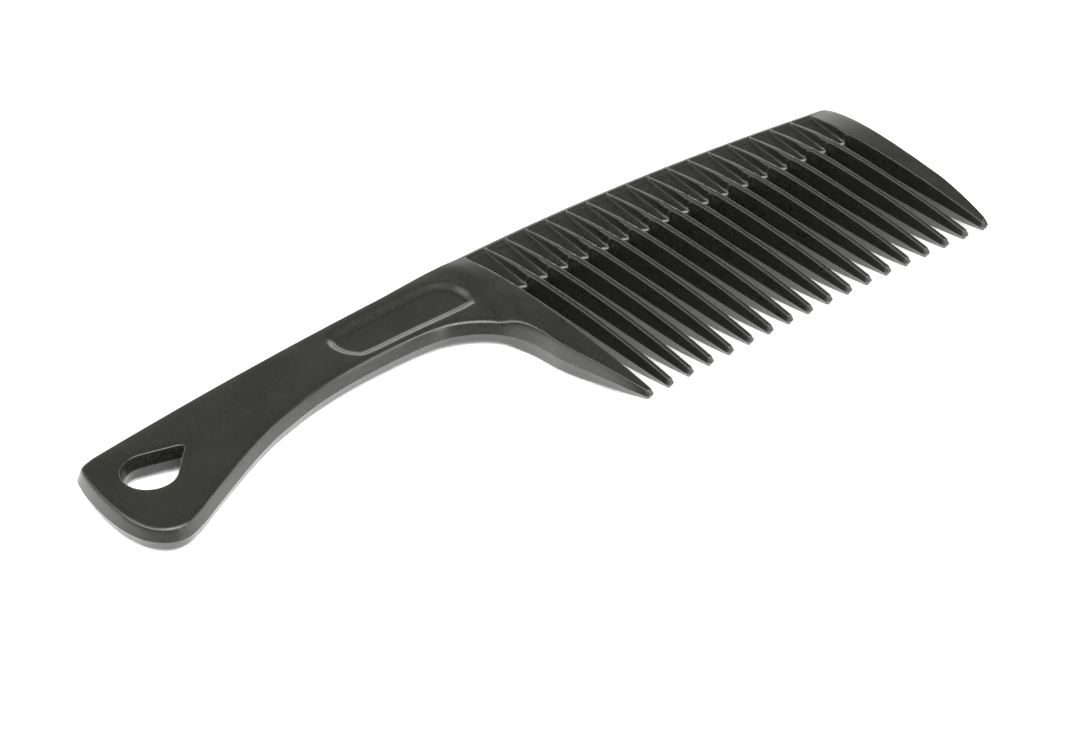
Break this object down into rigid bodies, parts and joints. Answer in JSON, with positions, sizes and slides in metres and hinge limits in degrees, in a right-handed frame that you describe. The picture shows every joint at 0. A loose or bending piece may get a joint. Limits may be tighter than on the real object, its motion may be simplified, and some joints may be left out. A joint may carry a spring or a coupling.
{
  "type": "wide tooth comb",
  "caption": "Wide tooth comb with a long flat handle, teardrop hang hole, shallow thumb recess, ribbed spine and tapered round-tipped teeth.",
  "frame": {"origin": "bottom centre of the bounding box: centre of the length and width, at the height of the lowest point of the blade's underside", "axes": "+X along the comb from the handle end to the front tooth, +Y across it to the straight back edge (teeth point to -Y), +Z through the thickness; the comb lies flat on its side"},
  "size_m": [0.221, 0.0662, 0.0086],
  "materials": {
    "moulded_plastic": "satin black, fine grain, slightly glossy edges"
  },
  "bodies": {
    "root": {"handle": "moulded_plastic", "spine": "moulded_plastic", "rear_guard_tooth": "moulded_plastic", "tooth_02": "moulded_plastic", "tooth_03": "moulded_plastic", "tooth_04": "moulded_plastic", "tooth_05": "moulded_plastic", "tooth_06": "moulded_plastic", "tooth_07": "moulded_plastic", "tooth_08": "moulded_plastic", "tooth_09": "moulded_plastic", "tooth_10": "moulded_plastic", "tooth_11": "moulded_plastic", "tooth_12": "moulded_plastic", "tooth_13": "moulded_plastic", "tooth_14": "moulded_plastic", "tooth_15": "moulded_plastic", "tooth_16": "moulded_plastic", "tooth_17": "moulded_plastic", "front_guard_tooth": "moulded_plastic"}
  },
  "joints": []
}
